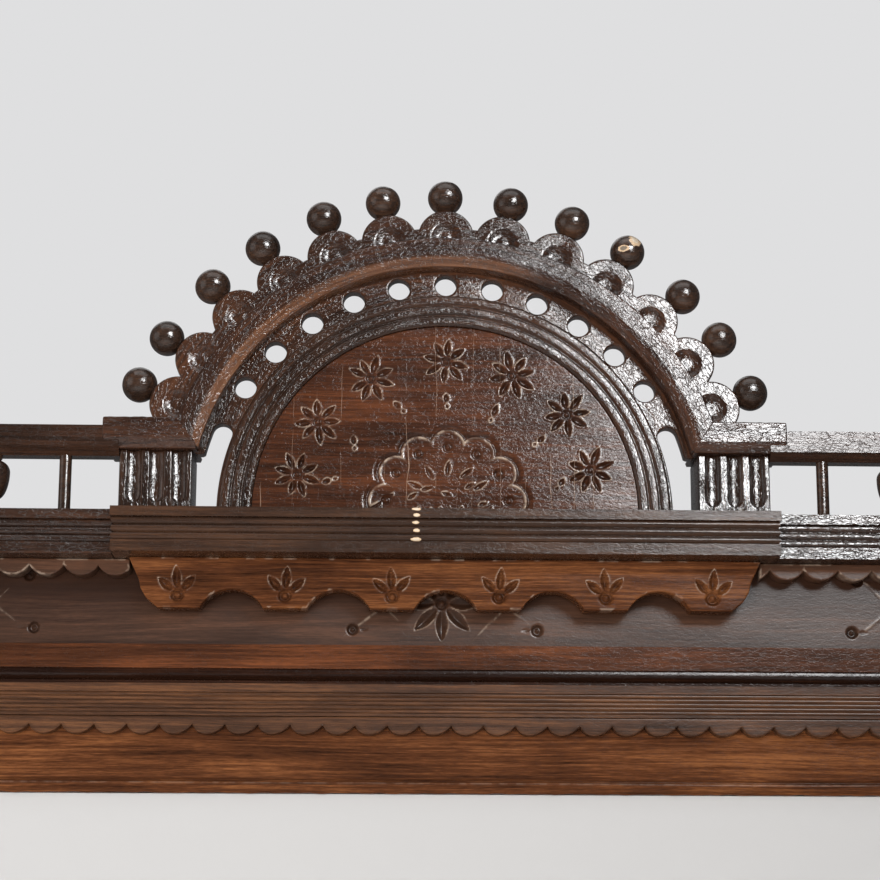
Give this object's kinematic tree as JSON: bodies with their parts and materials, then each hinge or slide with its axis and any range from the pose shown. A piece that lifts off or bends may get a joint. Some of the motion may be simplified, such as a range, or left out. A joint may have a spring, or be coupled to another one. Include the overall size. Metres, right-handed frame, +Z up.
{
  "type": "headboard cresting",
  "caption": "Carved and turned wooden cresting for a bed's headboard: moulded cornice and frieze, open galleries and a half-round pediment topped with balls.",
  "frame": {"origin": "centre of the bounding box at the underside", "axes": "+X along the width, towards the right as seen from the front; +Y towards the back; +Z up"},
  "size_m": [1.456, 0.1, 0.577],
  "materials": {
    "dark_varnished_wood": "dark brown gloss varnish, old and crinkled",
    "red_varnished_wood": "red brown gloss varnish over visible grain",
    "turned_wood": "very dark gloss varnish on turned wood",
    "raw_wood": "unfinished, sawn and planed",
    "steel": "plain wood screw"
  },
  "bodies": {
    "root": {"base_rail": "red_varnished_wood", "lower_scallop_strip": "dark_varnished_wood", "waist_moulding": "dark_varnished_wood", "cove_moulding": "dark_varnished_wood", "frieze_bead": "red_varnished_wood", "frieze_board": "dark_varnished_wood", "end_pilaster_left": "dark_varnished_wood", "end_pilaster_right": "dark_varnished_wood", "side_scallop_left": "dark_varnished_wood", "side_scallop_right": "dark_varnished_wood", "cornice_centre": "dark_varnished_wood", "cornice_left": "dark_varnished_wood", "cornice_right": "dark_varnished_wood", "apron": "red_varnished_wood", "apron_packing": "raw_wood", "end_cheek_left": "dark_varnished_wood", "end_cheek_right": "dark_varnished_wood", "top_board": "dark_varnished_wood", "back_rail": "raw_wood", "back_battens": "raw_wood", "glue_blocks": "raw_wood", "screws": "steel", "pediment_board": "red_varnished_wood", "tympanum_panel": "red_varnished_wood", "reeded_frame": "dark_varnished_wood", "hood_arch": "dark_varnished_wood", "hood_cap_left": "dark_varnished_wood", "hood_cap_right": "dark_varnished_wood", "pedestal_left": "dark_varnished_wood", "pedestal_right": "dark_varnished_wood", "pediment_battens": "raw_wood", "shelf_dowels": "raw_wood", "finial_dowels": "raw_wood", "ball_finial_01": "turned_wood", "ball_finial_02": "turned_wood", "ball_finial_03": "turned_wood", "ball_finial_04": "turned_wood", "ball_finial_05": "turned_wood", "ball_finial_06": "turned_wood", "ball_finial_07": "turned_wood", "ball_finial_08": "turned_wood", "ball_finial_09": "turned_wood", "ball_finial_10": "turned_wood", "ball_finial_11": "turned_wood", "ball_finial_12": "turned_wood", "ball_finial_13": "turned_wood", "gallery_rail_left": "dark_varnished_wood", "gallery_rail_right": "dark_varnished_wood", "gallery_rods_left": "turned_wood", "gallery_rods_right": "turned_wood", "baluster_left_inner": "turned_wood", "baluster_left_outer": "turned_wood", "baluster_right_inner": "turned_wood", "baluster_right_outer": "turned_wood", "end_post_left": "dark_varnished_wood", "end_post_right": "dark_varnished_wood", "end_cap_left": "dark_varnished_wood", "end_cap_right": "dark_varnished_wood"}
  },
  "joints": []
}
